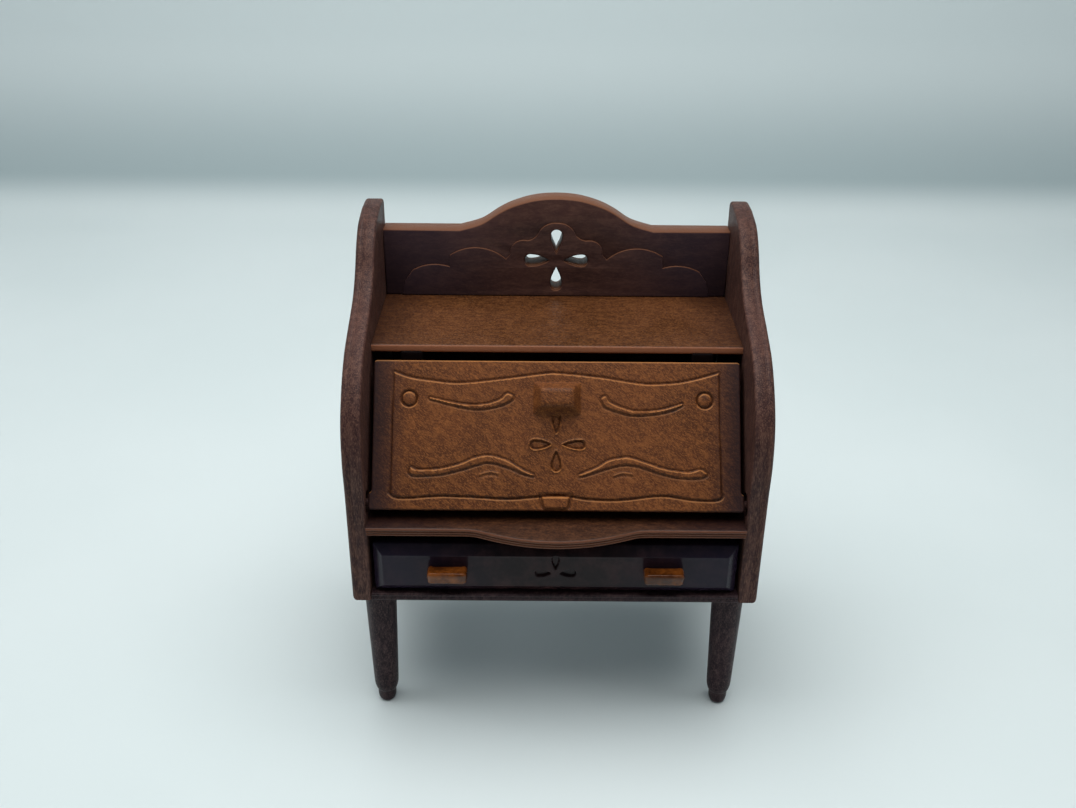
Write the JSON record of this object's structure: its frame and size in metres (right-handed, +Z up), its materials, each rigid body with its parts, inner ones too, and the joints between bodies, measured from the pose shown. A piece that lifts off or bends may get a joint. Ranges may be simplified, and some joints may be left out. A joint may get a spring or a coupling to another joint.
{
  "type": "doll's house writing bureau",
  "caption": "Wood-look doll's house writing bureau with a sloping drop front, shaped sides, pierced gallery, bowed shelf lip, long drawer and turned legs.",
  "frame": {"origin": "on the floor under the middle of the bureau's bounding box", "axes": "+X to the right as seen from the front, +Y towards the back, +Z up; the drawer and drop front face -Y"},
  "size_m": [0.0764, 0.053, 0.0935],
  "materials": {
    "side_plastic": "satin purplish brown with a fine wood-like stipple",
    "gallery_plastic": "satin very dark brown",
    "shelf_plastic": "satin warm brown with fine streaks",
    "leg_plastic": "satin dark brown with light scuffs",
    "flap_plastic": "golden brown with a fine stippled grain",
    "drawer_plastic": "glossy near-black aubergine brown",
    "handle_plastic": "glossy copper amber"
  },
  "bodies": {
    "carcase": {"side_panel_left": "side_plastic", "side_panel_right": "side_plastic", "gallery": "gallery_plastic", "back_board": "gallery_plastic", "top_shelf": "shelf_plastic", "lower_shelf": "shelf_plastic", "bottom_board": "gallery_plastic", "leg_front_left": "leg_plastic", "leg_front_right": "leg_plastic", "leg_back_left": "leg_plastic", "leg_back_right": "leg_plastic"},
    "drop_front": {"flap": "flap_plastic"},
    "drawer": {"drawer_front": "drawer_plastic", "drawer_tray": "drawer_plastic", "drawer_handle_left": "handle_plastic", "drawer_handle_right": "handle_plastic"}
  },
  "joints": [
    {"name": "flap_hinge", "type": "hinge", "parent": "carcase", "child": "drop_front", "pos_m": [0, -0.01851, 0.04904], "axis": [1, 0, 0], "range_deg": [0, 124]},
    {"name": "drawer_slide", "type": "slide", "parent": "carcase", "child": "drawer", "axis": [0, -1, 0], "range_m": [0, 0.03]}
  ]
}
